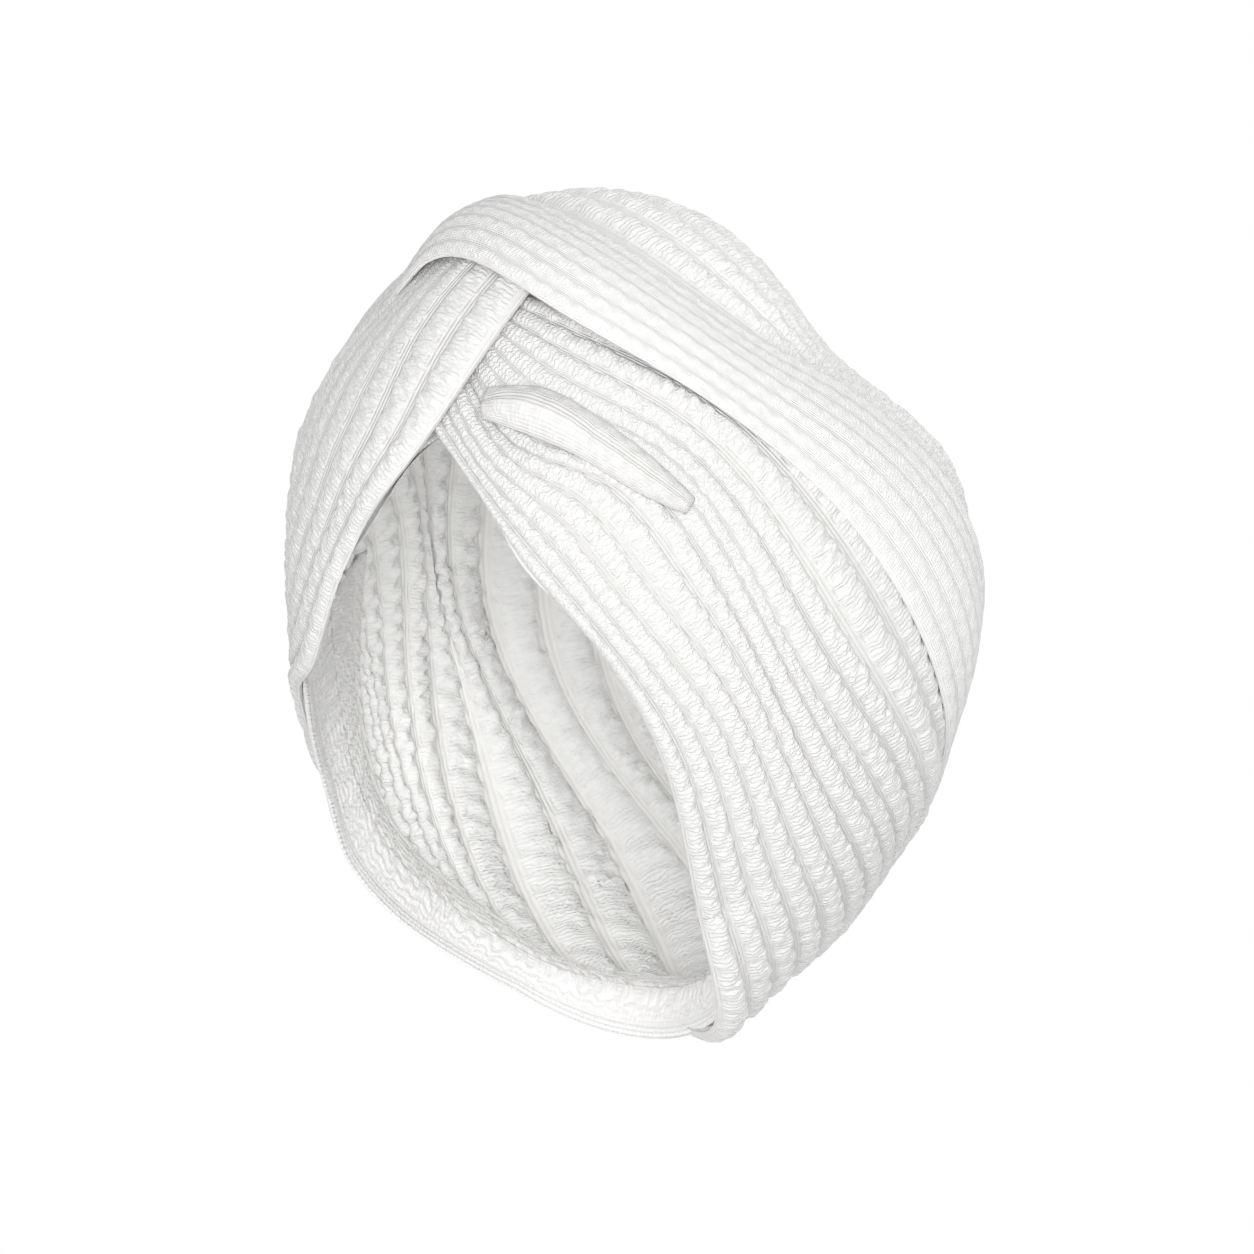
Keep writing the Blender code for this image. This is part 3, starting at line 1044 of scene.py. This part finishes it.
@dataclass
class NapeBand(ClothPanel):
    """The flat hem at the open edge, with a wavy knit and a smooth line near each side.

    The waves run along the band. They bend unevenly and sway, but not outside the two lines.
    Insets, the line's width and the fade are shares of the band's width, puffings are from 0 to
    1, and the rest are metres.
    """

    name: str = "nape_band_knit"
    node: str = "nape_band"
    slot: str = "band_knit"
    stations: tuple[float, ...] = BAND_STATIONS
    guides: tuple[Guide, ...] = (
        Guide(0, ((-54, -25), (-62, -33), (-70, -40.5), (-77, -51), (-90, -60.5),
                  (-117, -65.3), (-150, -68.0), (-174, -66.3), (162, -64.2), (128, -60.6))),
        Guide(2, ((-84, 2), (-86, -10), (-88, -22), (-93, -38), (-104, -49),
                  (-130, -56), (-153, -60.5), (-172, -57), (164, -56), (130, -57.2))),
    )
    ribs: int = 2
    columns_per_rib: int = 28
    rows: int = 501
    lift: float = -0.0032
    cloth: float = 0.0016
    finish: FinishAndPaintedLight = FinishAndPaintedLight.HEM
    flat: tuple[float, float] = (0.02, 0.30)
    rests_on: tuple[str, ...] = ("crown_outer_knit",)
    folds: tuple[Fold, ...] = (Fold(-0.2, 0.6, 0.62, 1.28, 0.0050),)
    rides: tuple[Ride, ...] = (
        Ride(0.2, 1.08, 0.0, 0.34, 0.0092),
        Ride(-0.1, 0.32, 0.0, 0.4, 0.0066),
    )
    edge: float = 0.0010
    back_stride: int = 1
    wave: float = 0.0019
    wave_height: float = 0.00045
    bend: float = 0.0011
    bend_width: float = 0.0045
    sway: float = 0.0005
    sway_length: float = 0.0052
    bend_inset: float = 0.12
    line_inset: float = 0.14
    line_width: float = 0.018
    fade: float = 0.06
    # the puffings also set how dark the band's colour is painted
    least_puffing: float = 0.12
    wave_puffing: float = 0.5

    def faces(self, grid: Grid) -> tuple[Array, Array, Array]:
        """The band's two faces, each with shallow waves that run along it.

        Args:
            grid: The panel's grid.

        Returns:
            The outer face's points, the inner face's points and the puffing.
        """
        width = grid.ribs * grid.pitch
        across = grid.ribs / self.ribs
        inset = np.minimum(across, 1 - across)
        bend = self.bend * soft_noise(grid.run / self.wave, width / self.bend_width)
        bend = bend + self.sway * np.sin(2 * np.pi * grid.run / self.sway_length)
        bend = bend * ease((inset - self.bend_inset) / self.fade)
        waves = 0.5 + 0.5 * np.sin(2 * np.pi * (width + bend) / self.wave)
        plain = 1 - np.exp(-((inset - self.line_inset) / self.line_width) ** 2)
        height = self.wave_height * waves * plain * ease(inset / self.fade)
        rounding = self.edge_rounding(grid)
        half = self.cloth / 2
        outer = grid.points + grid.outward * (half + (half + height) * rounding)[..., None]
        inner = grid.points + grid.outward * (half - (half + height) * rounding)[..., None]
        # the puffing also sets the colour: painted shade in the troughs of the waves, and a
        # darker colour along the two smooth lines
        return outer, inner, self.least_puffing + self.wave_puffing * waves * plain


@dataclass(frozen=True)
class SoftLight:
    """A square white light that faces the object, its side in metres and its power in watts.

    Its place is counted right, up and back from the camera's view, in metres.
    """

    name: str
    place: tuple[float, float, float]
    side: float
    power: float


@dataclass(frozen=True)
class Studio:
    """A pale floor, soft white light and the photograph's camera, its angles in degrees."""

    floor_height: float = -0.62
    floor_size: float = 30.0
    azimuth: float = 36.7
    elevation: float = -5.9
    roll: float = 14.8
    image_size: float = 1254.0
    pixels_per_metre: float = 3800.0
    principal: tuple[float, float] = (624.37, 611.94)
    near_and_far: tuple[float, float] = (0.01, 20.0)
    backdrop: float = 1.0
    ambient: float = 0.56
    floor_grey: Colour = (0.93, 0.93, 0.93)
    floor_roughness: float = 0.9
    lights: tuple[SoftLight, ...] = (
        SoftLight("front", (-0.08, 0.02, 1.5), 0.9, 15.0),
        SoftLight("key", (0.7, 0.9, 0.8), 0.8, 1.5),
        SoftLight("side", (1.4, 0.5, -0.3), 1.2, 5.5),
        SoftLight("back", (0.1, 0.9, -1.4), 3.0, 15.0),
    )
    dome: Dome = field(default_factory=Dome)

    def axes(self) -> Array:
        """The camera's own directions.

        Returns:
            Its right, up and backward directions, one a row.
        """
        a, e, k = (math.radians(x) for x in (self.azimuth, self.elevation, self.roll))
        view = np.array((
            (math.cos(a), math.sin(a), 0.0),
            (-math.sin(a) * math.sin(e), math.cos(a) * math.sin(e), math.cos(e)),
            (math.sin(a) * math.cos(e), -math.cos(a) * math.cos(e), math.sin(e))))
        turn = np.array((
            (math.cos(k), math.sin(k), 0), (-math.sin(k), math.cos(k), 0), (0, 0, 1)))
        return turn @ view

    def camera(self) -> None:
        """Makes the orthographic camera at the photograph's angle."""
        rows = self.axes()
        half = self.image_size / 2
        target = -np.array(self.dome.seat)
        target = target + rows[0] * (half - self.principal[0]) / self.pixels_per_metre
        target = target - rows[1] * (half - self.principal[1]) / self.pixels_per_metre
        data = bpy.data.cameras.new("camera")
        data.type = "ORTHO"
        data.ortho_scale = self.image_size / self.pixels_per_metre
        data.clip_start, data.clip_end = self.near_and_far
        camera = bpy.data.objects.new("camera", data)
        camera.matrix_world = Matrix.Translation(Vector(target + rows[2])) @ Matrix(
            rows.T.tolist()).to_4x4()
        bpy.context.scene.collection.objects.link(camera)
        bpy.context.scene.camera = camera

    def light(self, soft: SoftLight) -> None:
        """Adds one of the lights.

        Args:
            soft: The light's name, place, side and power.
        """
        data = bpy.data.lights.new(soft.name, "AREA")
        data.size, data.energy = soft.side, soft.power
        lamp = bpy.data.objects.new(soft.name, data)
        place = Vector(np.array(soft.place) @ self.axes())
        lamp.location = place
        lamp.rotation_euler = place.to_track_quat("Z", "Y").to_euler()
        bpy.context.scene.collection.objects.link(lamp)

    def floor(self) -> None:
        """Lays the pale floor well under the object."""
        half = self.floor_size / 2
        mesh = bpy.data.meshes.new("floor")
        corners = ((-half, -half), (half, -half), (half, half), (-half, half))
        mesh.from_pydata([(x, y, self.floor_height) for x, y in corners], [], [(0, 1, 2, 3)])
        material = bpy.data.materials.new("floor")
        material.use_nodes = True
        shader = material.node_tree.nodes["Principled BSDF"]
        shader.inputs["Base Color"].default_value = (*self.floor_grey, 1.0)
        shader.inputs["Roughness"].default_value = self.floor_roughness
        mesh.materials.append(material)
        floor = bpy.data.objects.new("floor", mesh)
        bpy.context.scene.collection.objects.link(floor)

    def world(self) -> None:
        """Fills the surroundings with even white light."""
        world = bpy.data.worlds.new("studio")
        world.use_nodes = True
        kit = NodeKit(world.node_tree)
        background = world.node_tree.nodes["Background"]
        background.inputs["Color"].default_value = (1.0, 1.0, 1.0, 1.0)
        path = kit.add("ShaderNodeLightPath")
        strength = kit.add("ShaderNodeMix", {"A": self.ambient, "B": self.backdrop})
        kit.link(path.outputs["Is Camera Ray"], strength.inputs["Factor"])
        kit.link(strength.outputs["Result"], background.inputs["Strength"])
        bpy.context.scene.world = world

    def build(self) -> None:
        """Makes the whole studio."""
        bpy.context.scene.view_settings.view_transform = "Standard"
        self.camera()
        self.world()
        for soft in self.lights:
            self.light(soft)
        self.floor()


def main() -> None:
    """Builds the pieces in order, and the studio."""
    logging.basicConfig(level=logging.INFO, format="%(name)s %(message)s")
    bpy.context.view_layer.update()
    for panel in (CrownInside(), CrownOutside(), LeftSideWrap(), RightSideWrap(), TopFold(),
                  SideTuck(), NapeBand()):
        panel.dress()
    Studio().build()


if __name__ == "__main__":
    main()
